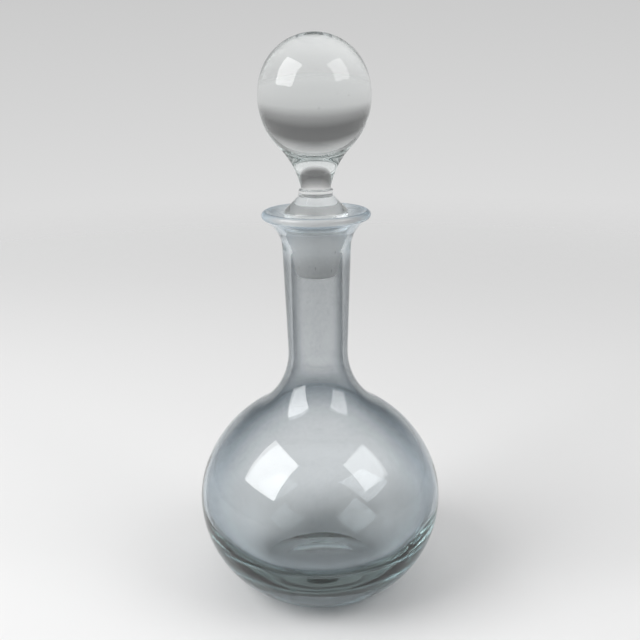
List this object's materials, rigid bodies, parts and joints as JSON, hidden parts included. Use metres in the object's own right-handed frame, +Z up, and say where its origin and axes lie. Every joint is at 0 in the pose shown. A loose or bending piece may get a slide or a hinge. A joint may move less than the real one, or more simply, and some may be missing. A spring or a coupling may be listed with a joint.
{
  "type": "glass decanter",
  "caption": "Clear glass globe decanter with a tall neck, a flared lip and a ground taper stopper topped by a solid glass ball.",
  "frame": {"origin": "centre of the foot, on the surface the decanter stands on", "axes": "+Z up along the axis of both pieces; X and Y are level and equal, because the part is round"},
  "size_m": [0.1336, 0.1336, 0.3002],
  "materials": {
    "clear_glass": "clear blown glass, fire-polished lip",
    "stopper_glass": "clear solid glass, plug ground to a fine frost"
  },
  "bodies": {
    "vessel": {"decanter_body": "clear_glass"},
    "stopper": {"ball_stopper": "stopper_glass"}
  },
  "joints": [
    {"name": "stopper_lift", "type": "slide", "parent": "vessel", "child": "stopper", "axis": [0, 0, 1], "range_m": [0, 0.046]}
  ]
}
